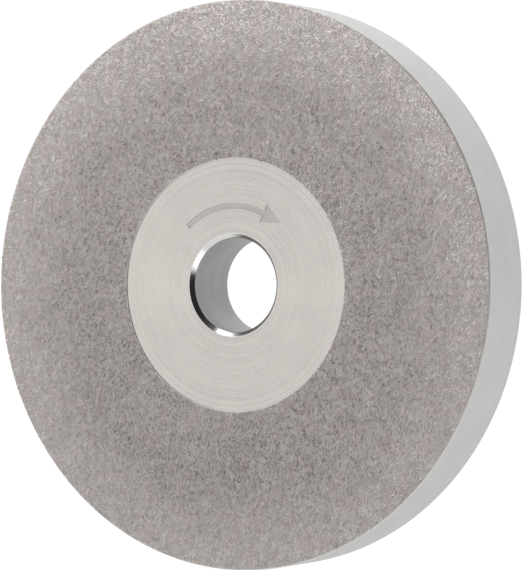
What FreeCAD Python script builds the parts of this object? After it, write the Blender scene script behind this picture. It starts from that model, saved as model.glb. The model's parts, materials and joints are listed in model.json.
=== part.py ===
import FreeCAD, Part
import math
import os

os.makedirs("parts", exist_ok=True)

# A face grinding wheel: a turned steel disc whose front carries a broad ring of diamond
# crystals held in plated nickel. The middle of the front face, the rim, the back and the
# bore stay bare steel. Millimetres. The wheel's axis is Y, the coated face looks along -Y,
# +Z is up, and the origin is on the axis, halfway through the steel disc.

# Steel disc
wheel_diameter = 152.4
disc_thickness = 19.05
bore_diameter = 25.4
bore_chamfer = 1.1
front_edge_break = 0.4
back_edge_break = 0.7

# Coating
plain_diameter = 67.6
nickel_thickness = 0.25
nickel_edge_on_rim = 0.1
inner_nickel_lip = 0.35
grit_height = 0.2

# Rotation arrow, engraved in the plain centre above the bore
arrow_radius = 21.2
arrow_line_width = 1.6
arrow_head_width = 5.4
arrow_head_length = 6.0
arrow_tail_angle = 132.0
arrow_neck_angle = 64.0
arrow_depth = 0.12

# Planes and radii that several pieces share
rim_radius = wheel_diameter / 2
bore_radius = bore_diameter / 2
plain_radius = plain_diameter / 2
front_plane = -disc_thickness / 2
back_plane = disc_thickness / 2
nickel_front = front_plane - nickel_thickness
grit_front = nickel_front - grit_height
nickel_corner_radius = front_edge_break + nickel_thickness - nickel_edge_on_rim
grit_outer_radius = rim_radius - nickel_corner_radius
grit_inner_radius = plain_radius + inner_nickel_lip

AXIS_POINT = FreeCAD.Vector(0, 0, 0)
WHEEL_AXIS = FreeCAD.Vector(0, 1, 0)


def profile_point(radius, y):
    """A point of a turned profile, drawn in the half plane to the right of the axis."""
    return FreeCAD.Vector(radius, y, 0)


def outline(points):
    """Straight edges through the points, in order, left open at the end."""
    return [Part.makeLine(start, end) for start, end in zip(points, points[1:])]


def turned(edges):
    """The solid that a closed profile sweeps in one full turn about the wheel's axis."""
    face = Part.Face(Part.Wire(edges))
    return face.revolve(AXIS_POINT, WHEEL_AXIS, 360)


def face_point(radius, angle):
    """A point on the disc's front plane, its angle in degrees from +X towards +Z."""
    turn = math.radians(angle)
    return FreeCAD.Vector(radius * math.cos(turn), front_plane, radius * math.sin(turn))


def face_arc(radius, start_angle, end_angle):
    """An arc about the axis, on the disc's front plane."""
    middle = (start_angle + end_angle) / 2
    arc = Part.Arc(face_point(radius, start_angle), face_point(radius, middle), face_point(radius, end_angle))
    return arc.toShape()


def rotation_arrow():
    """The cutter for the curved arrow that shows which way the wheel may turn."""
    line_outer = arrow_radius + arrow_line_width / 2
    line_inner = arrow_radius - arrow_line_width / 2
    head_outer = arrow_radius + arrow_head_width / 2
    head_inner = arrow_radius - arrow_head_width / 2
    neck = face_point(arrow_radius, arrow_neck_angle)
    forward = face_point(1, arrow_neck_angle - 90) - face_point(0, 0)
    tip = neck + forward * arrow_head_length
    head = [
        face_point(line_outer, arrow_neck_angle),
        face_point(head_outer, arrow_neck_angle),
        tip,
        face_point(head_inner, arrow_neck_angle),
        face_point(line_inner, arrow_neck_angle),
    ]
    edges = [face_arc(line_outer, arrow_tail_angle, arrow_neck_angle)]
    edges += outline(head)
    edges.append(face_arc(line_inner, arrow_neck_angle, arrow_tail_angle))
    tail = [face_point(line_inner, arrow_tail_angle), face_point(line_outer, arrow_tail_angle)]
    edges += outline(tail)
    face = Part.Face(Part.Wire(edges))
    return face.extrude(WHEEL_AXIS * arrow_depth)


def wheel_body():
    """The steel disc with its bore, bore chamfers, edge breaks and engraved arrow.

    The front face is split where the mask ended, into the bare centre and the plated ring."""
    profile = [
        profile_point(bore_radius + bore_chamfer, front_plane),
        profile_point(plain_radius, front_plane),
        profile_point(rim_radius - front_edge_break, front_plane),
        profile_point(rim_radius, front_plane + front_edge_break),
        profile_point(rim_radius, back_plane - back_edge_break),
        profile_point(rim_radius - back_edge_break, back_plane),
        profile_point(bore_radius + bore_chamfer, back_plane),
        profile_point(bore_radius, back_plane - bore_chamfer),
        profile_point(bore_radius, front_plane + bore_chamfer),
    ]
    return turned(outline(profile + profile[:1])).cut(rotation_arrow())


def nickel_bond():
    """The plated ring on the front face, carried over the disc's edge break to the rim."""
    rim_end = profile_point(rim_radius, nickel_front + nickel_corner_radius)
    face_end = profile_point(rim_radius - nickel_corner_radius, nickel_front)
    corner_centre = profile_point(rim_radius - nickel_corner_radius, nickel_front + nickel_corner_radius)
    diagonal = nickel_corner_radius / math.sqrt(2)
    corner_middle = corner_centre + profile_point(diagonal, -diagonal)
    inner = [
        face_end,
        profile_point(plain_radius, nickel_front),
        profile_point(plain_radius, front_plane),
        profile_point(rim_radius - front_edge_break, front_plane),
        profile_point(rim_radius, front_plane + front_edge_break),
        rim_end,
    ]
    corner = Part.Arc(rim_end, corner_middle, face_end).toShape()
    return turned(outline(inner) + [corner])


def diamond_grit():
    """The band that the crystal tips fill, standing on the nickel."""
    band = [
        profile_point(grit_inner_radius, nickel_front),
        profile_point(grit_inner_radius, grit_front),
        profile_point(grit_outer_radius, grit_front),
        profile_point(grit_outer_radius, nickel_front),
    ]
    return turned(outline(band + band[:1]))


def save(node, shape):
    """Write one piece to its own file and print what it measures."""
    shape.exportStep("parts/" + node + ".step")
    print(node, "valid", shape.isValid(), "solids", len(shape.Solids), "volume", round(shape.Volume, 1))


save("wheel_body", wheel_body())
save("nickel_bond", nickel_bond())
save("diamond_grit", diamond_grit())
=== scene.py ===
# %% [markdown]
# # A plated diamond face wheel
# The real wheel is a thick turned steel disc. Its front face carries a broad ring of diamond
# crystals, held in nickel that was grown round them in a plating bath. The middle of the face,
# the rim, the back and the bore stay bare steel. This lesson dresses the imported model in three
# finishes: lathe turned steel, matt plated nickel, and tens of thousands of separate crystals.

# %% Load the frame
import json
import math

import bmesh
import bpy
import numpy as np
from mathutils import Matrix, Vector

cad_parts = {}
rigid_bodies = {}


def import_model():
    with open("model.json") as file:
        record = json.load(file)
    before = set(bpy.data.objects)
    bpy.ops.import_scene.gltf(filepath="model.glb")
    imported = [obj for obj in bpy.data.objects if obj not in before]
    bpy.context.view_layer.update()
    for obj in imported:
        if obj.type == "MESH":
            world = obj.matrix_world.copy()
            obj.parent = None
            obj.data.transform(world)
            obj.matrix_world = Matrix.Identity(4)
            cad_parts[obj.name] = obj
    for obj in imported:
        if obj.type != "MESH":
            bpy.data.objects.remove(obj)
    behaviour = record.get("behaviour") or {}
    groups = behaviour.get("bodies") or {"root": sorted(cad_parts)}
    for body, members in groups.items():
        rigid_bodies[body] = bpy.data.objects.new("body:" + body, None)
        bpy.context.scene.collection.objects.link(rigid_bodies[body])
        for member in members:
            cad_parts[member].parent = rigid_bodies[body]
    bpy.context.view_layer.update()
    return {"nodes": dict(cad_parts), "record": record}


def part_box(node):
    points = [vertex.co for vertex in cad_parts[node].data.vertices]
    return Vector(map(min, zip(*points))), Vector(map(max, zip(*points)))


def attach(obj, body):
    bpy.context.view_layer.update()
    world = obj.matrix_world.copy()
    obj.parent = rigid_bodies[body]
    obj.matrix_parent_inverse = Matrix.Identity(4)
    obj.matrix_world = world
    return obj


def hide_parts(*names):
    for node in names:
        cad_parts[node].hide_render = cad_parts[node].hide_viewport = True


MM = 0.001

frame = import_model()
print("nodes", sorted(frame["nodes"]))

# %% [markdown]
# ## Measure the wheel
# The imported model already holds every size. Its axis is Y and its coated face looks along -Y, so
# distances from the axis and planes along it say all there is to say about a turned piece. Reading
# them here, rather than typing them in, keeps this script right when the wheel's size changes.

# %% Measure the wheel
same_plane = 0.01 * MM


def corners_of(node):
    """A node's corners, one row each."""
    return np.array([corner.co for corner in frame["nodes"][node].data.vertices])


def radii(node):
    """The smallest and largest distance of a node's corners from the wheel's axis."""
    corners = corners_of(node)
    reach = np.hypot(corners[:, 0], corners[:, 2])
    return float(reach.min()), float(reach.max())


def widest_at(node, plane):
    """The largest distance from the axis among a node's corners that lie in a plane."""
    corners = corners_of(node)
    level = corners[np.abs(corners[:, 1] - plane) < same_plane]
    return float(np.hypot(level[:, 0], level[:, 2]).max())


bore_radius, rim_radius = radii("wheel_body")
plain_radius, _ = radii("nickel_bond")
grit_inner, grit_outer = radii("diamond_grit")
front_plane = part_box("wheel_body")[0].y
back_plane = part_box("wheel_body")[1].y
grit_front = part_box("diamond_grit")[0].y
nickel_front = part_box("diamond_grit")[1].y
bore_mount = next(m for m in frame["record"]["mounts"] if m["name"] == "bore")
bore_chamfer = (back_plane - front_plane - bore_mount["dims"]["length_mm"] * MM) / 2
front_break = rim_radius - widest_at("wheel_body", front_plane)
back_break = rim_radius - widest_at("wheel_body", back_plane)
nickel_corner = rim_radius - widest_at("nickel_bond", nickel_front)
print("rim radius", round(rim_radius / MM, 2), "bore chamfer", round(bore_chamfer / MM, 2))
print("edge breaks", round(front_break / MM, 2), round(back_break / MM, 2))

# %% [markdown]
# ## The camera
# A product is shown through a long lens, from a few diameters away. A short lens close by could
# frame the wheel as well, but it would blow up the near side of the rim. The camera stands at the
# height of the bore, and turns round the wheel until the rim shows as a narrow crescent. The focal
# length is worked out from the distance and from how much the frame has to hold.

# %% Set up the camera
view_turn = math.radians(31.1)
camera_distance = 10.0 * rim_radius
view_height = 1.997 * rim_radius
aim_to_the_side = 0.102 * rim_radius


def look_at_wheel():
    """A camera that faces the wheel's front, turned towards its right-hand rim."""
    outwards = Vector((math.sin(view_turn), -math.cos(view_turn), 0))
    sideways = Vector((math.cos(view_turn), math.sin(view_turn), 0))
    face_centre = Vector((0, grit_front, 0))
    eye = bpy.data.cameras.new("studio_camera")
    eye.lens = eye.sensor_width * camera_distance / view_height
    camera = bpy.data.objects.new("studio_camera", eye)
    camera.location = face_centre + outwards * camera_distance
    target = face_centre + sideways * aim_to_the_side
    camera.rotation_euler = (target - camera.location).to_track_quat("-Z", "Y").to_euler()
    bpy.context.scene.collection.objects.link(camera)
    bpy.context.scene.camera = camera
    print("lens", round(eye.lens, 1), "mm")


look_at_wheel()

# %% [markdown]
# ## Small helpers for node trees
# Every finish and every repeating piece below is a tree of nodes. Each node could be added and wired
# line by line, but a few helpers keep the trees readable. One adds a node and fills its sockets, one
# does a sum, one maps a range and one mixes two colours. Two make noise whose blotches have a real
# size. Such noise gathers round 0.5 and seldom comes near 0 or 1, so one more helper stretches what
# lies round the middle over a range.

# %% Helpers that add nodes and do sums


def put(tree, kind, settings=None, **sockets):
    """Adds a node. settings are its own properties, and sockets are input names with spaces as _."""
    node = tree.nodes.new(kind)
    for name, value in (settings or {}).items():
        setattr(node, name, value)
    for name, value in sockets.items():
        fill(tree, node.inputs[name.replace("_", " ")], value)
    return node


def fill(tree, socket, value):
    """Links an output into a socket, or sets the socket to a plain value."""
    if isinstance(value, bpy.types.NodeSocket):
        tree.links.new(value, socket)
    else:
        socket.default_value = value


def sum_of(tree, operation, first, second=0.0):
    """One Math node, as its output."""
    node = put(tree, "ShaderNodeMath", {"operation": operation})
    fill(tree, node.inputs[0], first)
    fill(tree, node.inputs[1], second)
    return node.outputs[0]


def product(tree, first, *others):
    """Several values multiplied, as an output."""
    for other in others:
        first = sum_of(tree, "MULTIPLY", first, other)
    return first


def span(tree, value, low, high, low_result=0.0, high_result=1.0):
    """Maps a value from one range to another, smoothly at both ends, as an output."""
    settings = {"interpolation_type": "SMOOTHSTEP"}
    ends = {"From_Min": low, "From_Max": high, "To_Min": low_result, "To_Max": high_result}
    return put(tree, "ShaderNodeMapRange", settings, Value=value, **ends).outputs["Result"]


# %% Helpers for colour and noise
crumbly = 0.6


def blend_colours(tree, share, first, second, how="MIX"):
    """Mixes two colours, as an output. A colour is red, green, blue and 1."""
    node = put(tree, "ShaderNodeMix", {"data_type": "RGBA", "blend_type": how})
    share_socket, first_socket, second_socket = node.inputs[0], node.inputs[6], node.inputs[7]
    fill(tree, share_socket, share)
    fill(tree, first_socket, first)
    fill(tree, second_socket, second)
    return node.outputs[2]


def clouds(tree, place, size, detail, **more):
    """Noise in space, with blotches about one size across, as an output."""
    return put(tree, "ShaderNodeTexNoise", Vector=place, Scale=1 / size, Detail=detail, **more).outputs[0]


def lines(tree, travel, width, detail):
    """Noise that changes only along one measure, such as the distance from the axis."""
    settings = {"noise_dimensions": "1D"}
    return put(tree, "ShaderNodeTexNoise", settings, W=travel, Scale=1 / width, Detail=detail).outputs[0]


def stretched(tree, noise, spread, low_result=0.0, high_result=1.0):
    """Noise that lies within a spread of 0.5, stretched over a range, as an output."""
    return span(tree, noise, 0.5 - spread, 0.5 + spread, low_result, high_result)


# %% [markdown]
# ## The light tent
# Bright metal shows what stands round it. A product like this is lit in a white tent: light comes
# from every side, except through one dark gap, high in front and to the right, where the room shows.
# That gap draws the black crescent in the polished chamfer of the bore. A long pale panel at bench
# height lights the turned centre, and a low card gives the chamfer its one white highlight. Walls
# and lamps could be modelled, but each would need its own soft edge. Here the tent is painted into
# the world by direction, and angles say where each part of it stands.

# %% Choose the tent's lights
tent_glow = 0.79
roof_glow = 1.9
roof_start, roof_full = 0.80, 0.97
backdrop_glow = 1.05

left_turn, left_rise = math.radians(-95), math.radians(15)
left_gain = 0.18

gap_turn, gap_rise = math.radians(44), math.radians(32)
gap_core, gap_edge = math.radians(50), math.radians(57)
gap_glow = 0.03

card_turn, card_rise = math.radians(52), math.radians(-42)
card_core, card_edge = math.radians(8), math.radians(20)
card_gain = 2.0

panel_gain = 0.62
panel_full_height, panel_end_height = 0.03, 0.24
panel_start, panel_full = 0.2, 0.8
print("the gap is dark within", round(math.degrees(gap_core)), "degrees of its middle")

# %% Paint the tent


def direction(turn, rise):
    """A unit vector: turn is from the front towards +X, rise is above the horizon."""
    level = math.cos(rise)
    return (math.sin(turn) * level, -math.cos(turn) * level, math.sin(rise))


def towards(tree, way, target):
    """How squarely the ray's direction meets a fixed direction: 1 is straight at it."""
    node = put(tree, "ShaderNodeVectorMath", {"operation": "DOT_PRODUCT"})
    fill(tree, node.inputs[0], way)
    node.inputs[1].default_value = target
    return node.outputs["Value"]


def round_patch(tree, way, turn, rise, core, edge, strength):
    """A round part of the tent: its own strength inside its core, and 1 outside its edge."""
    facing = towards(tree, way, direction(turn, rise))
    return span(tree, facing, math.cos(edge), math.cos(core), 1.0, strength)


def long_panel(tree, way, up):
    """A band at bench height, which the flat centre mirrors into the camera: 1 outside it."""
    height = sum_of(tree, "ABSOLUTE", up)
    tall = span(tree, height, panel_full_height, panel_end_height, 1.0, 0.0)
    facing = towards(tree, way, direction(-view_turn, 0))
    wide = span(tree, facing, panel_start, panel_full, 0.0, panel_gain)
    return sum_of(tree, "ADD", product(tree, tall, wide), 1.0)


def paint_tent():
    """The world: a pale tent for the metal to mirror, and plain white behind the wheel."""
    world = bpy.data.worlds.new("light_tent")
    bpy.context.scene.world = world
    world.use_nodes = True
    tree = world.node_tree
    tree.nodes.clear()
    way = put(tree, "ShaderNodeTexCoord").outputs["Generated"]
    up = towards(tree, way, (0, 0, 1))
    left = towards(tree, way, direction(left_turn, left_rise))
    light = product(
        tree,
        span(tree, up, roof_start, roof_full, tent_glow, roof_glow),
        round_patch(tree, way, gap_turn, gap_rise, gap_core, gap_edge, gap_glow),
        round_patch(tree, way, card_turn, card_rise, card_core, card_edge, card_gain),
        span(tree, left, -1.0, 1.0, 1 - left_gain, 1 + left_gain),
        long_panel(tree, way, up),
    )
    seen = put(tree, "ShaderNodeLightPath").outputs["Is Camera Ray"]
    backdrop = sum_of(tree, "MAXIMUM", light, product(tree, seen, backdrop_glow))
    tent = put(tree, "ShaderNodeBackground", Color=(1, 1, 1, 1), Strength=backdrop)
    put(tree, "ShaderNodeOutputWorld", Surface=tent.outputs[0])
    print("tent nodes", len(tree.nodes))


paint_tent()
bpy.context.scene.view_settings.view_transform = "Standard"

# %% [markdown]
# ## The light table and the softbox
# The floor is a light table: pale, and lit a little from below. A plain white floor would only look
# white under strong lamps, which would cast hard shadows. A floor that glows stays white by itself
# and sends light up into the lower rim. It ends close in front of the wheel, so that the tent's low
# card can reach the chamfer past it. One large softbox hangs above and in front, and makes the upper
# half of the grit a little brighter than the lower half. It doesn't show in reflections.

# %% Lay the light table
table_front = -0.5 * rim_radius
table_reach = 60 * rim_radius
table_grey = 0.12
table_roughness = 0.9
table_glow = 0.60
camera_lift = 0.40


def white_acrylic():
    """A pale sheet that glows a little, and looks white to the camera."""
    acrylic = bpy.data.materials.new("white_acrylic")
    acrylic.use_nodes = True
    tree = acrylic.node_tree
    shader = tree.nodes["Principled BSDF"]
    shader.inputs["Base Color"].default_value = (table_grey, table_grey, table_grey, 1)
    shader.inputs["Roughness"].default_value = table_roughness
    shader.inputs["Emission Color"].default_value = (1, 1, 1, 1)
    seen = put(tree, "ShaderNodeLightPath").outputs["Is Camera Ray"]
    glow = sum_of(tree, "ADD", product(tree, seen, camera_lift), table_glow)
    fill(tree, shader.inputs["Emission Strength"], glow)
    return acrylic


def lay_table():
    """A wide pale floor that the wheel stands on."""
    left, right = -table_reach, table_reach
    square = [(left, table_front), (right, table_front), (right, table_reach), (left, table_reach)]
    mesh = bpy.data.meshes.new("light_table")
    mesh.from_pydata([(x, y, -rim_radius) for x, y in square], [], [(0, 1, 2, 3)])
    mesh.materials.append(white_acrylic())
    table = bpy.data.objects.new("light_table", mesh)
    bpy.context.scene.collection.objects.link(table)
    print("table at", round(-rim_radius / MM, 2), "mm, under the wheel")


lay_table()

# %% Hang the softbox
softbox_place = Vector((0.4, -1.6, 3.2)) * rim_radius
softbox_width = 4.0 * rim_radius
softbox_watts = 0.85


def hang_softbox():
    """One soft lamp above and in front of the wheel, aimed at its centre."""
    lamp = bpy.data.lights.new("softbox", "AREA")
    lamp.shape = "DISK"
    lamp.size = softbox_width
    lamp.energy = softbox_watts
    softbox = bpy.data.objects.new("softbox", lamp)
    softbox.location = softbox_place
    softbox.rotation_euler = (-softbox_place).to_track_quat("-Z", "Y").to_euler()
    softbox.visible_glossy = False
    bpy.context.scene.collection.objects.link(softbox)
    print("softbox", round(softbox_place.length / MM), "mm from the wheel")


hang_softbox()

# %% [markdown]
# ## Outlines for the lathe
# A turned piece is one outline, swept about the axis. Here an outline is a chain of corners, each
# with the radius of its round, because a real edge is never quite sharp and that small round is
# what catches the light. A Bevel modifier could round the finished mesh, but a round that is drawn
# in the outline has exactly its radius and can differ from corner to corner. A corner with no radius
# lies hidden against another piece. A point near each end of a long straight keeps its shading flat,
# as a supporting loop does in a subdivided mesh.

# %% Draw outlines with rounded corners
edge_round = 0.12 * MM
support = 0.15 * MM
round_steps = 5


def rounded(corners):
    """A closed outline through corners given as (from axis, along axis, radius of the round)."""
    points = [Vector(corner[:2]) for corner in corners]
    outline = []
    for i, (*_, radius) in enumerate(corners):
        before, corner, after = points[i - 1], points[i], points[(i + 1) % len(points)]
        if not radius:
            outline.append(corner)
            continue
        inwards = (before - corner).normalized()
        onwards = (after - corner).normalized()
        half = inwards.angle(onwards) / 2
        setback = radius / math.tan(half)
        centre = corner + (inwards + onwards).normalized() * (radius / math.sin(half))
        start = (corner + inwards * setback - centre).normalized()
        end = (corner + onwards * setback - centre).normalized()
        steps = range(round_steps + 1)
        outline += [centre + start.slerp(end, step / round_steps) * radius for step in steps]
    return held(outline)


def held(outline):
    """Adds a point near each end of every long straight, which keeps its shading flat."""
    result = []
    for start, end in zip(outline, outline[1:] + outline[:1]):
        result.append(start)
        along = end - start
        if along.length > 3 * support:
            result += [start + along.normalized() * support, end - along.normalized() * support]
    return result


# %% The outlines of the disc and of the nickel
nickel_lip_round = 0.08 * MM

steel_outline = rounded([
    (bore_radius + bore_chamfer, front_plane, edge_round),
    (rim_radius - front_break, front_plane, 0),
    (rim_radius, front_plane + front_break, 0),
    (rim_radius, back_plane - back_break, edge_round),
    (rim_radius - back_break, back_plane, edge_round),
    (bore_radius + bore_chamfer, back_plane, edge_round),
    (bore_radius, back_plane - bore_chamfer, edge_round),
    (bore_radius, front_plane + bore_chamfer, edge_round),
])
nickel_outline = rounded([
    (plain_radius, front_plane, 0),
    (plain_radius, nickel_front, nickel_lip_round),
    (rim_radius, nickel_front, nickel_corner),
    (rim_radius, front_plane + front_break, 0),
    (rim_radius - front_break, front_plane, 0),
])
print("steel outline", len(steel_outline), "points, nickel outline", len(nickel_outline), "points")

# %% [markdown]
# ## The lathe
# The Screw modifier or a bmesh spin could sweep an outline. A Geometry Nodes tree does it here,
# because the rule is plain to read: take a grid, let each row follow one point of the outline and
# each column one step round the axis, then merge the seam. The same tree turns both metal pieces.

# %% Helpers that open and close a Geometry Nodes tree


def new_tree(name, inputs):
    """A tree with named inputs and one geometry output. Returns it and its inputs' values."""
    tree = bpy.data.node_groups.new(name, "GeometryNodeTree")
    for label, kind in inputs.items():
        tree.interface.new_socket(label, in_out="INPUT", socket_type="NodeSocket" + kind)
    tree.interface.new_socket("Piece", in_out="OUTPUT", socket_type="NodeSocketGeometry")
    return tree, put(tree, "NodeGroupInput").outputs


def close_tree(tree, geometry, material):
    """Ends a tree with real geometry that wears its material, which the export needs."""
    real = put(tree, "GeometryNodeRealizeInstances", Geometry=geometry)
    dressed = put(tree, "GeometryNodeSetMaterial", Geometry=real.outputs[0], Material=material)
    put(tree, "NodeGroupOutput", Piece=dressed.outputs[0])
    return tree


def round_axis(tree, reach, along, angle):
    """The place at a distance from the axis, a distance along it and an angle round it."""
    x = product(tree, reach, sum_of(tree, "COSINE", angle))
    z = product(tree, reach, sum_of(tree, "SINE", angle))
    return put(tree, "ShaderNodeCombineXYZ", X=x, Y=along, Z=z).outputs[0]


# %% Build the lathe
facets = 288
seam_gap = 0.001 * MM


def lathe_tree():
    """Geometry Nodes: a grid whose rows follow the outline and whose columns go round the axis."""
    inputs = {"Outline": "Geometry", "Facets": "Int", "Finish": "Material"}
    tree, given = new_tree("lathe", inputs)
    count = put(tree, "GeometryNodeAttributeDomainSize", {"component": "MESH"}, Geometry=given["Outline"])
    points = count.outputs["Point Count"]
    rows = sum_of(tree, "ADD", points, 1)
    columns = sum_of(tree, "ADD", given["Facets"], 1)
    grid = put(tree, "GeometryNodeMeshGrid", Vertices_X=rows, Vertices_Y=columns)

    index = put(tree, "GeometryNodeInputIndex").outputs[0]
    row = sum_of(tree, "FLOOR", sum_of(tree, "DIVIDE", index, columns))
    row = sum_of(tree, "MODULO", row, points)
    column = sum_of(tree, "MODULO", index, columns)
    angle = sum_of(tree, "DIVIDE", product(tree, column, math.tau), given["Facets"])

    place = put(tree, "GeometryNodeInputPosition").outputs[0]
    settings = {"data_type": "FLOAT_VECTOR"}
    sample = put(tree, "GeometryNodeSampleIndex", settings, Geometry=given["Outline"], Value=place, Index=row)
    drawn = put(tree, "ShaderNodeSeparateXYZ", Vector=sample.outputs[0]).outputs
    spot = round_axis(tree, drawn["X"], drawn["Y"], angle)
    wrapped = put(tree, "GeometryNodeSetPosition", Geometry=grid.outputs["Mesh"], Position=spot)
    closed = put(tree, "GeometryNodeMergeByDistance", Geometry=wrapped.outputs[0], Distance=seam_gap)
    return close_tree(tree, closed.outputs[0], given["Finish"])


lathe = lathe_tree()
print("lathe nodes", len(lathe.nodes))

# %% [markdown]
# ## From a tree to a plain mesh
# A modifier's result is only worked out when it is needed, and other programs can't read it. Applying
# the modifier by hand would do, but new_from_object gives the result as a plain mesh in one line. A
# tree's inputs are set on the modifier by each socket's identifier, because names may repeat.

# %% Turn a tree's result into a plain piece


def finished_mesh(piece):
    """What an object's modifiers make of it, as a plain mesh."""
    graph = bpy.context.evaluated_depsgraph_get()
    return bpy.data.meshes.new_from_object(piece.evaluated_get(graph), depsgraph=graph)


def grown(name, base, tree, values):
    """Runs a tree on a base mesh and returns the result as a plain mesh object with no modifier."""
    maker = bpy.data.objects.new(name + "_maker", base)
    bpy.context.scene.collection.objects.link(maker)
    modifier = maker.modifiers.new(name, "NODES")
    modifier.node_group = tree
    for item in tree.interface.items_tree:
        if item.in_out == "INPUT" and item.name in values:
            modifier[item.identifier] = values[item.name]
    mesh = finished_mesh(maker)
    bpy.data.objects.remove(maker)
    mesh.name = name
    piece = bpy.data.objects.new(name, mesh)
    bpy.context.scene.collection.objects.link(piece)
    return piece


# %% Turn a piece on the lathe
smooth_limit = math.radians(35)


def turn_faces_out(mesh):
    """Makes a closed mesh's faces point outwards and returns its volume."""
    work = bmesh.new()
    work.from_mesh(mesh)
    bmesh.ops.recalc_face_normals(work, faces=work.faces)
    volume = work.calc_volume(signed=True)
    if volume < 0:
        bmesh.ops.reverse_faces(work, faces=work.faces)
    work.to_mesh(mesh)
    work.free()
    return abs(volume)


def turned(name, outline, finish):
    """A piece turned from a closed outline."""
    chain = bpy.data.meshes.new(name + "_outline")
    points = [(point.x, point.y, 0) for point in outline]
    chain.from_pydata(points, [(i, (i + 1) % len(points)) for i in range(len(points))], [])
    piece = grown(name, chain, lathe, {"Facets": facets, "Finish": finish})
    volume = turn_faces_out(piece.data)
    print(name, len(piece.data.polygons), "faces,", round(volume / MM**3), "mm3")
    return piece


def shade(piece):
    """Shades a piece smooth, and leaves its edges sharp where two faces meet more steeply."""
    piece.data.set_sharp_from_angle(angle=smooth_limit)
    print(piece.name, sum(edge.use_edge_sharp for edge in piece.data.edges), "sharp edges")


# %% [markdown]
# ## Finishes of the steel
# Facing on a lathe leaves rings that are finer than the eye can part, and they stretch every
# highlight across themselves. An anisotropic shader could stretch the highlights, but close up the
# metal would have no lines. A bump that depends only on the distance from the axis and along it
# gives the face its rings and the rim its lines, at every distance. Wider, fainter rings show where
# the tool's feed changed. The chamfer is cut last with a sharp tool and shines. The bore is reamed
# and keeps a duller skin.

# %% Mix the steel finishes
patch_size, patch_spread = 9 * MM, 0.15
ring_to_line, ring_spread = 10, 0.20
along_share = 1.7
dulling = 0.02


def bare_finish(name):
    """An empty material, its tree and its shader."""
    material = bpy.data.materials.new(name)
    material.use_nodes = True
    return material, material.node_tree, material.node_tree.nodes["Principled BSDF"]


def from_axis(tree, x, z):
    """The distance from the wheel's axis, from the two measures across it, as an output."""
    flat = put(tree, "ShaderNodeCombineXYZ", X=x, Z=z).outputs[0]
    return put(tree, "ShaderNodeVectorMath", {"operation": "LENGTH"}, Vector=flat).outputs["Value"]


def steel(name, colour, roughness, line_width, line_slope, wear):
    """Turned steel: fine lines and wider rings from the tool, and faint patches from handling."""
    material, tree, shader = bare_finish(name)
    place = put(tree, "ShaderNodeTexCoord").outputs["Object"]
    parts = put(tree, "ShaderNodeSeparateXYZ", Vector=place).outputs
    radius = from_axis(tree, parts["X"], parts["Z"])

    # The lines follow the distance from the axis on a face, and the distance along it on the rim.
    travel = sum_of(tree, "ADD", radius, product(tree, parts["Y"], along_share))
    rings = lines(tree, travel, ring_to_line * line_width, 1.0)
    patches = clouds(tree, place, patch_size, 4.0, Roughness=crumbly)
    ringed = stretched(tree, rings, ring_spread, 0.0, 0.5)
    handled = stretched(tree, patches, patch_spread, 0.0, 0.5)
    share = sum_of(tree, "ADD", ringed, handled)
    darker = tuple(channel * (1 - wear) for channel in colour) + (1,)
    fill(tree, shader.inputs["Base Color"], blend_colours(tree, share, colour + (1,), darker))
    dull = span(tree, share, 0.0, 1.0, roughness - dulling, roughness + dulling)
    fill(tree, shader.inputs["Roughness"], dull)

    depth = line_slope * line_width
    bump = put(tree, "ShaderNodeBump", Height=lines(tree, travel, line_width, 2.0), Distance=depth)
    fill(tree, shader.inputs["Normal"], bump.outputs[0])
    shader.inputs["Metallic"].default_value = 1.0
    return material


# Each has a colour, a roughness, the width and slope of its lines, and how far wear darkens it.
faced_steel = steel("faced_steel", (0.523, 0.487, 0.463), 0.26, 0.05 * MM, 0.28, 0.03)
faced_back = steel("faced_back", (0.66, 0.62, 0.595), 0.28, 0.22 * MM, 0.32, 0.08)
ground_rim = steel("ground_rim", (0.765, 0.765, 0.755), 0.36, 0.2 * MM, 0.22, 0.05)
reamed_bore = steel("reamed_bore", (0.475, 0.47, 0.465), 0.38, 0.3 * MM, 0.20, 0.10)
cut_chamfer = steel("cut_chamfer", (0.92, 0.91, 0.90), 0.17, 0.2 * MM, 0.01, 0.0)
engraved_steel = steel("engraved_steel", (0.495, 0.459, 0.438), 0.42, 0.1 * MM, 0.05, 0.05)
steel_finishes = [faced_steel, faced_back, ground_rim, reamed_bore, cut_chamfer, engraved_steel]
FRONT, BACK, RIM, BORE, CHAMFER, ENGRAVED = range(len(steel_finishes))
print("steel finishes", [material.name for material in steel_finishes])

# %% [markdown]
# ## Turn the disc and engrave it
# The arrow that shows which way the wheel may turn is engraved in the bare centre. It could be a
# bump in the finish, but an engraved edge has to catch the light from every side, so it is cut into
# the mesh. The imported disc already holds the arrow's floor, so its faces are copied, drawn out into
# a cutter and taken away from the turned disc. That keeps the engraving where the frame has it.

# %% Turn the disc
disc = turned("steel_disc", steel_outline, faced_steel)

# %% Engrave the arrow
least_depth = 0.03 * MM
cutter_height = 1 * MM
facing_front = -0.99


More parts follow.
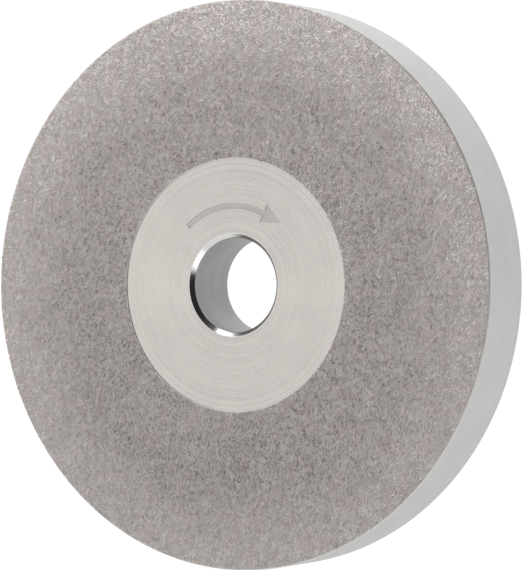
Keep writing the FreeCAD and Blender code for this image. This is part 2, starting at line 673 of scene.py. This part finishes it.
def arrow_cutter():
    """A closed block over the engraved arrow's floor, which reaches out of the front face."""
    work = bmesh.new()
    work.from_mesh(frame["nodes"]["wheel_body"].data)
    bmesh.ops.remove_doubles(work, verts=work.verts, dist=seam_gap)

    def is_floor(face):
        depth = face.calc_center_median().y - front_plane
        return least_depth < depth < bore_chamfer / 2 and face.normal.y < facing_front

    bmesh.ops.delete(work, geom=[f for f in work.faces if not is_floor(f)], context="FACES")
    sheet = bmesh.ops.extrude_face_region(work, geom=list(work.faces))
    lifted = [part for part in sheet["geom"] if isinstance(part, bmesh.types.BMVert)]
    bmesh.ops.translate(work, verts=lifted, vec=(0, -cutter_height, 0))
    bmesh.ops.recalc_face_normals(work, faces=work.faces)
    mesh = bpy.data.meshes.new("arrow_cutter")
    work.to_mesh(mesh)
    work.free()

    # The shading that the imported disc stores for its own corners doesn't fit the cutter's.
    mesh.attributes.remove(mesh.attributes["custom_normal"])
    cutter = bpy.data.objects.new("arrow_cutter", mesh)
    bpy.context.scene.collection.objects.link(cutter)
    return cutter


def engrave(piece, cutter):
    """Takes the cutter out of the piece and leaves a plain mesh."""
    cut = piece.modifiers.new("engrave", "BOOLEAN")
    cut.operation = "DIFFERENCE"
    cut.solver = "EXACT"
    cut.object = cutter
    mesh = finished_mesh(piece)
    piece.modifiers.clear()
    piece.data = mesh
    mesh.name = piece.name
    bpy.data.objects.remove(cutter)
    print("engraved disc", len(mesh.polygons), "faces")


engrave(disc, arrow_cutter())

# %% [markdown]
# ## Dress the disc
# One lump of steel wears six finishes, because each surface was cut in its own way. A face's place
# says which surface it belongs to, so no face has to be picked by hand. The disc then takes the
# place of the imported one, which stays in the frame for its weight and its collisions.

# %% Give each surface of the disc its own finish
rim_depth = 1 * MM


def finish_of(face):
    """Which finish a face of the disc wears, from where it lies."""
    reach = math.hypot(face.center.x, face.center.z)
    inside = min(face.center.y - front_plane, back_plane - face.center.y)
    if reach < bore_radius + edge_round and inside > bore_chamfer - edge_round / 2:
        return BORE
    if reach < bore_radius + bore_chamfer + edge_round / 2:
        return CHAMFER
    if reach > rim_radius - rim_depth and inside > edge_round / 4:
        return RIM
    if inside > edge_round / 4:
        return ENGRAVED
    return FRONT if face.center.y < 0 else BACK


disc.data.materials.clear()
for material in steel_finishes:
    disc.data.materials.append(material)
for face in disc.data.polygons:
    face.material_index = finish_of(face)
shade(disc)
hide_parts("wheel_body")
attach(disc, "root")
print("faces of each finish", np.bincount([face.material_index for face in disc.data.polygons]))

# %% [markdown]
# ## The plated nickel
# Nickel grows out of the bath as a matt, faintly pebbled skin. It covers the face outside the bare
# centre and rolls over the edge of the disc. Both its edges are painted paler, as a painted highlight
# where the rounded edges catch the light. Its shape is one more turned outline. Modelled pebbles
# would need millions of faces, and they are only some hundredths of a millimetre high, so a fine
# noise makes them as a bump. A coarser noise makes the cloudy colour.

# %% Turn and finish the nickel
pebble_size, pebble_spread = 0.22 * MM, 0.30
pebble_height = 0.03 * MM
swirl_size, swirl_spread = 2.5 * MM, 0.20
dark_nickel = (0.56, 0.525, 0.51, 1)
pale_nickel = (0.68, 0.645, 0.63, 1)
# The colour of the painted highlight along the nickel's rounded edges.
painted_edge_highlight = (0.93, 0.915, 0.90, 1)
least_dull, most_dull = 0.58, 0.74


def nickel_finish():
    """Matt nickel with the fine pebbles that plating leaves, and a painted highlight on both its edges."""
    material, tree, shader = bare_finish("matt_nickel")
    place = put(tree, "ShaderNodeTexCoord").outputs["Object"]
    parts = put(tree, "ShaderNodeSeparateXYZ", Vector=place).outputs
    radius = from_axis(tree, parts["X"], parts["Z"])
    pebbles = clouds(tree, place, pebble_size, 3.0, Roughness=crumbly)
    swirl = stretched(tree, clouds(tree, place, swirl_size, 3.0), swirl_spread)
    skin = blend_colours(tree, swirl, dark_nickel, pale_nickel)
    # Painted highlight: the nickel turns paler towards its rounded outer edge and at its inner lip.
    outer_highlight_mask = span(tree, radius, rim_radius - nickel_corner, rim_radius - nickel_corner / 3)
    inner_highlight_mask = span(tree, radius, grit_inner, plain_radius)
    edge = sum_of(tree, "MAXIMUM", outer_highlight_mask, inner_highlight_mask)
    fill(tree, shader.inputs["Base Color"], blend_colours(tree, edge, skin, painted_edge_highlight))
    dull = stretched(tree, pebbles, pebble_spread, least_dull, most_dull)
    fill(tree, shader.inputs["Roughness"], dull)
    bump = put(tree, "ShaderNodeBump", Height=pebbles, Distance=pebble_height)
    fill(tree, shader.inputs["Normal"], bump.outputs[0])
    shader.inputs["Metallic"].default_value = 1.0
    return material


nickel = turned("nickel_coat", nickel_outline, nickel_finish())
shade(nickel)
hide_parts("nickel_bond")
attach(nickel, "root")

# %% [markdown]
# ## The crystals' shapes
# Synthetic diamond grows as blocky crystals with six square and eight triangular faces, and
# crushing breaks some of them. A rough ball could stand for a grain, but only flat faces glint, and
# the convex hull of a handful of points gives flat faces and is always closed. Six shapes are
# enough, because each copy is turned, sized and sunk in the nickel by chance. A shape that is
# repeated tens of thousands of times has few faces: here 14 or 20 triangles.

# %% Cut a few crystal shapes
crystal_kinds = 6
first_crystal_seed = 100
uneven_corners = 0.14
whole_sides = (0.82, 1.12)
broken_corners = 9
broken_sides = (0.75, 1.15)


def whole_crystal(dice):
    """The twelve corners of a crystal with square and triangular faces, a little uneven."""
    corners = [(a, b, 0) for a in (-1, 1) for b in (-1, 1)]
    corners += [(a, 0, b) for a in (-1, 1) for b in (-1, 1)]
    corners += [(0, a, b) for a in (-1, 1) for b in (-1, 1)]
    points = np.array(corners, float) * 0.5 / math.sqrt(2)
    points *= 1 + dice.uniform(-uneven_corners, uneven_corners, (len(points), 1))
    return points * dice.uniform(*whole_sides, 3)


def broken_crystal(dice):
    """The corners of a splinter: points spread by chance over a ball, then squashed."""
    points = dice.normal(size=(broken_corners, 3))
    points *= 0.5 / np.linalg.norm(points, axis=1, keepdims=True)
    return points * dice.uniform(*broken_sides, 3)


def crystal_mesh(kind):
    """A closed crystal about one unit across. Even kinds are whole, odd kinds are broken ones."""
    dice = np.random.default_rng(first_crystal_seed + kind)
    points = whole_crystal(dice) if kind % 2 == 0 else broken_crystal(dice)
    work = bmesh.new()
    for point in points:
        work.verts.new(point)
    hull = bmesh.ops.convex_hull(work, input=list(work.verts))
    loose = {part for part in hull["geom_interior"] if isinstance(part, bmesh.types.BMVert)}
    bmesh.ops.delete(work, geom=list(loose), context="VERTS")
    bmesh.ops.recalc_face_normals(work, faces=work.faces)
    mesh = bpy.data.meshes.new(f"crystal_{kind}")
    work.to_mesh(mesh)
    work.free()
    return mesh


def crystal_tray():
    """A collection that holds one of each crystal shape."""
    tray = bpy.data.collections.new("crystal_shapes")
    for kind in range(crystal_kinds):
        shape = bpy.data.objects.new(f"crystal_{kind}", crystal_mesh(kind))
        tray.objects.link(shape)
    return tray


tray = crystal_tray()

# %% [markdown]
# ## The crystals' finish
# Industrial diamond is grey, with a little pink in one lot and a little green in the next. A glass
# shader could bend light through each crystal, but grains this small and impure look opaque, and
# glass is slow and grainy to render. An opaque shader with a raised index of refraction lets even
# a small face glint. Each crystal carries a number called tone, stored by the scattering below, and
# a colour ramp turns that number into its shade of grey.

# %% Mix the crystals' finish
dark_crystal = (0.10, 0.088, 0.082, 1)
middle_crystal = (0.46, 0.415, 0.395, 1)
pale_crystal = (0.78, 0.73, 0.705, 1)
pinker = (1.03, 0.98, 0.985, 1)
greener = (0.97, 1.01, 0.985, 1)
lot_size, lot_spread = 5 * MM, 0.12
crystal_roughness = 0.36
crystal_index = 1.9


def crystal_finish():
    """Grey diamond, pinker here and greener there. Each crystal carries its own tone."""
    material, tree, shader = bare_finish("diamond")
    place = put(tree, "ShaderNodeTexCoord").outputs["Object"]
    lots = stretched(tree, clouds(tree, place, lot_size, 3.0, Roughness=crumbly), lot_spread)
    tint = blend_colours(tree, lots, pinker, greener)
    tone = put(tree, "ShaderNodeAttribute", {"attribute_name": "tone"}).outputs["Fac"]
    greys = put(tree, "ShaderNodeValToRGB", Fac=tone)
    ramp = greys.color_ramp
    ramp.elements[0].color = dark_crystal
    ramp.elements[1].color = pale_crystal
    ramp.elements.new(0.5).color = middle_crystal
    tinted = blend_colours(tree, 1.0, greys.outputs["Color"], tint, "MULTIPLY")
    fill(tree, shader.inputs["Base Color"], tinted)
    shader.inputs["Roughness"].default_value = crystal_roughness
    shader.inputs["IOR"].default_value = crystal_index
    return material


diamond = crystal_finish()
print("diamond nodes", len(diamond.node_tree.nodes))

# %% [markdown]
# ## The tree that scatters crystals
# On the real wheel the crystals lie side by side, never on top of each other, because the nickel
# grips only those that touch the disc. A particle system could scatter them, but Geometry Nodes
# keeps a least distance between them. The tree wraps a strip round the axis to make the nickel's
# surface, throws points on it, keeps one sector of them, and stands a crystal on each. Every throw
# of the dice has its own seed, so each run is the same.

# %% Helpers for the scatter: the nickel's surface and the dice
strip_rows, strip_columns = 241, 361
SIZE, SINK, SPIN, PICK, TONE = range(1, 6)


def bent(tree, given, reach):
    """How far along the axis the nickel lies: flat, then rolling back over the rounded edge."""
    curve = given["Edge round"]
    flat_end = sum_of(tree, "SUBTRACT", rim_radius, curve)
    past = sum_of(tree, "MAXIMUM", sum_of(tree, "SUBTRACT", reach, flat_end), 0.0)
    level = sum_of(tree, "SUBTRACT", product(tree, curve, curve), product(tree, past, past))
    drop = sum_of(tree, "SUBTRACT", curve, sum_of(tree, "SQRT", level))
    return sum_of(tree, "ADD", given["Nickel face"], drop)


def nickel_surface(tree, given, place):
    """The ring that the crystals stand on: a strip of unit width and length, wrapped round."""
    settings = {"Size_X": 1.0, "Size_Y": 1.0, "Vertices_X": strip_rows, "Vertices_Y": strip_columns}
    strip = put(tree, "GeometryNodeMeshGrid", **settings)
    parts = put(tree, "ShaderNodeSeparateXYZ", Vector=place).outputs
    angle = product(tree, parts["Y"], math.tau)
    width = sum_of(tree, "SUBTRACT", given["Outer radius"], given["Inner radius"])
    out_from_inner = product(tree, sum_of(tree, "ADD", parts["X"], 0.5), width)
    reach = sum_of(tree, "ADD", given["Inner radius"], out_from_inner)
    spot = round_axis(tree, reach, bent(tree, given, reach), angle)
    return put(tree, "GeometryNodeSetPosition", Geometry=strip.outputs["Mesh"], Position=spot).outputs[0]


def thrown(tree, given, throw, low, high, kind="FLOAT"):
    """A random value for each crystal, as an output. Each throw of the dice has its own number."""
    sockets = {"FLOAT_VECTOR": (0, 1, 0), "FLOAT": (2, 3, 1), "INT": (4, 5, 2)}
    lowest, highest, result = sockets[kind]
    node = put(tree, "FunctionNodeRandomValue", {"data_type": kind})
    node.inputs[lowest].default_value = low
    node.inputs[highest].default_value = high
    fill(tree, node.inputs["Seed"], sum_of(tree, "ADD", given["Seed"], throw))
    return node.outputs[result]


# %% How pale each crystal is
base_tone = 0.45
chance_of_tone = 0.12
clump_size, clump_gain = 1.2 * MM, 1.1
drift_size, drift_gain = 7 * MM, 0.4
rim_tone = 0.36
rim_tone_start = 0.66 * rim_radius
# Painted shade: on the right of the ring, only this share of the paling towards the rim is kept.
right_shade_share = 0.8
right_shade_start = 0.2 * rim_radius


def crystal_tone(tree, given, place, at):
    """How pale a crystal is: chance, clumps and drifts, paler towards the rim, and painted shade on the
    right.
    """
    clumps = sum_of(tree, "SUBTRACT", clouds(tree, place, clump_size, 1.0), 0.5)
    drifts = sum_of(tree, "SUBTRACT", clouds(tree, place, drift_size, 3.0), 0.5)
    uneven = sum_of(tree, "ADD", product(tree, clumps, clump_gain), product(tree, drifts, drift_gain))
    radius = from_axis(tree, at["X"], at["Z"])
    paler = span(tree, radius, rim_tone_start, rim_radius, 0.0, rim_tone)
    # Painted shade: the ring's right side keeps less of the rim's paling, so it looks darker, as if less
    # light reached it.
    side = span(tree, at["X"], right_shade_start, rim_radius, 1.0, right_shade_share)
    tone = sum_of(tree, "ADD", product(tree, paler, side), base_tone)
    tone = sum_of(tree, "ADD", tone, thrown(tree, given, TONE, -chance_of_tone, chance_of_tone))
    return sum_of(tree, "ADD", tone, uneven)


# %% Build the scatter
most_per_square_metre = 40e6
smallest, largest = 0.75, 1.20
highest_sink, deepest_sink = -0.06, 0.10


def one_sector(tree, given, points, at):
    """The points whose angle round the axis lies in the sector, and no others."""
    angle = sum_of(tree, "ARCTAN2", at["Z"], at["X"])
    early = sum_of(tree, "LESS_THAN", angle, given["Sector start"])
    late = sum_of(tree, "GREATER_THAN", angle, given["Sector end"])
    other = sum_of(tree, "ADD", early, late)
    settings = {"domain": "POINT"}
    return put(tree, "GeometryNodeDeleteGeometry", settings, Geometry=points, Selection=other).outputs[0]


def sunk(tree, given, points):
    """The points, moved into the nickel or out of it by a little."""
    sink = product(tree, thrown(tree, given, SINK, highest_sink, deepest_sink), given["Crystal size"])
    lowered = put(tree, "ShaderNodeCombineXYZ", Y=sink).outputs[0]
    return put(tree, "GeometryNodeSetPosition", Geometry=points, Offset=lowered).outputs[0]


def stand_crystals(tree, given, points):
    """One crystal on each point, with its own shape, turn and size."""
    shapes = put(tree, "GeometryNodeCollectionInfo", Collection=given["Shapes"], Separate_Children=True)
    size = product(tree, thrown(tree, given, SIZE, smallest, largest), given["Crystal size"])
    full_turn = (math.tau, math.tau, math.tau)
    return put(
        tree,
        "GeometryNodeInstanceOnPoints",
        Points=points,
        Instance=shapes.outputs[0],
        Pick_Instance=True,
        Instance_Index=thrown(tree, given, PICK, 0, crystal_kinds - 1, "INT"),
        Rotation=thrown(tree, given, SPIN, (0, 0, 0), full_turn, "FLOAT_VECTOR"),
        Scale=size,
    ).outputs[0]


def scatter_tree():
    """Geometry Nodes: crystals scattered over one sector of the ring."""
    measures = ("Inner radius", "Outer radius", "Edge round", "Nickel face")
    measures += ("Least gap", "Crystal size", "Sector start", "Sector end")
    inputs = {name: "Float" for name in measures}
    inputs |= {"Shapes": "Collection", "Seed": "Int", "Finish": "Material"}
    tree, given = new_tree("scatter_crystals", inputs)
    place = put(tree, "GeometryNodeInputPosition").outputs[0]
    at = put(tree, "ShaderNodeSeparateXYZ", Vector=place).outputs
    scatter = put(
        tree,
        "GeometryNodeDistributePointsOnFaces",
        {"distribute_method": "POISSON"},
        Mesh=nickel_surface(tree, given, place),
        Distance_Min=given["Least gap"],
        Density_Max=most_per_square_metre,
        Seed=given["Seed"],
    )
    points = sunk(tree, given, one_sector(tree, given, scatter.outputs["Points"], at))
    settings = {"data_type": "FLOAT", "domain": "POINT"}
    tone = crystal_tone(tree, given, place, at)
    toned = put(tree, "GeometryNodeStoreNamedAttribute", settings, Geometry=points, Name="tone", Value=tone)
    return close_tree(tree, stand_crystals(tree, given, toned.outputs[0]), given["Finish"])


scatter_crystals = scatter_tree()
print("scatter nodes", len(scatter_crystals.nodes))

# %% [markdown]
# ## Grow the grit
# The ring is grown in eight sectors, so that each stays a light mesh. All of them throw the same
# points and each keeps its own, so no crystal is missing or doubled where two sectors meet. Each
# sector gets a flat map that looks straight at the face. Unwrapping would cut every crystal into
# scraps too small to hold a colour, and a crystal has one colour all over.

# %% Grow the grit, sector by sector
sectors = 8
least_gap = 0.43 * MM
crystal_size = 0.56 * MM
shoulder = 0.3 * nickel_corner
rng_seed = 7


def lay_flat(mesh):
    """A map that looks straight at the face, so that a baked copy keeps each crystal's colour."""
    corners = np.empty(len(mesh.vertices) * 3)
    mesh.vertices.foreach_get("co", corners)
    seen = corners.reshape(-1, 3)[:, [0, 2]]
    low = seen.min(axis=0)
    flat = (seen - low) / (seen.max(axis=0) - low)
    order = np.empty(len(mesh.loops), dtype=int)
    mesh.loops.foreach_get("vertex_index", order)
    mesh.uv_layers.new(name="OFBake").uv.foreach_set("vector", flat[order].ravel())


def grow_sector(number):
    """One sector of the ring of crystals, as a piece. Returns how many triangles it has."""
    step = math.tau / sectors
    start = -math.pi + number * step
    name = f"diamond_grit_{number + 1}"
    values = {
        "Inner radius": grit_inner,
        "Outer radius": grit_outer + shoulder,
        "Edge round": nickel_corner,
        "Nickel face": nickel_front,
        "Least gap": least_gap,
        "Crystal size": crystal_size,
        "Sector start": start,
        "Sector end": start + step,
        "Shapes": tray,
        "Seed": rng_seed,
        "Finish": diamond,
    }
    piece = grown(name, bpy.data.meshes.new(name + "_base"), scatter_crystals, values)
    lay_flat(piece.data)
    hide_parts("diamond_grit")
    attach(piece, "root")
    return sum(len(face.vertices) - 2 for face in piece.data.polygons)


def empty_tray():
    """Takes away the shapes that the crystals were copied from."""
    for shape in list(tray.objects):
        bpy.data.objects.remove(shape)
    bpy.data.collections.remove(tray)


triangles = [grow_sector(number) for number in range(sectors)]
empty_tray()
print("grit triangles", sum(triangles), "largest piece", max(triangles))
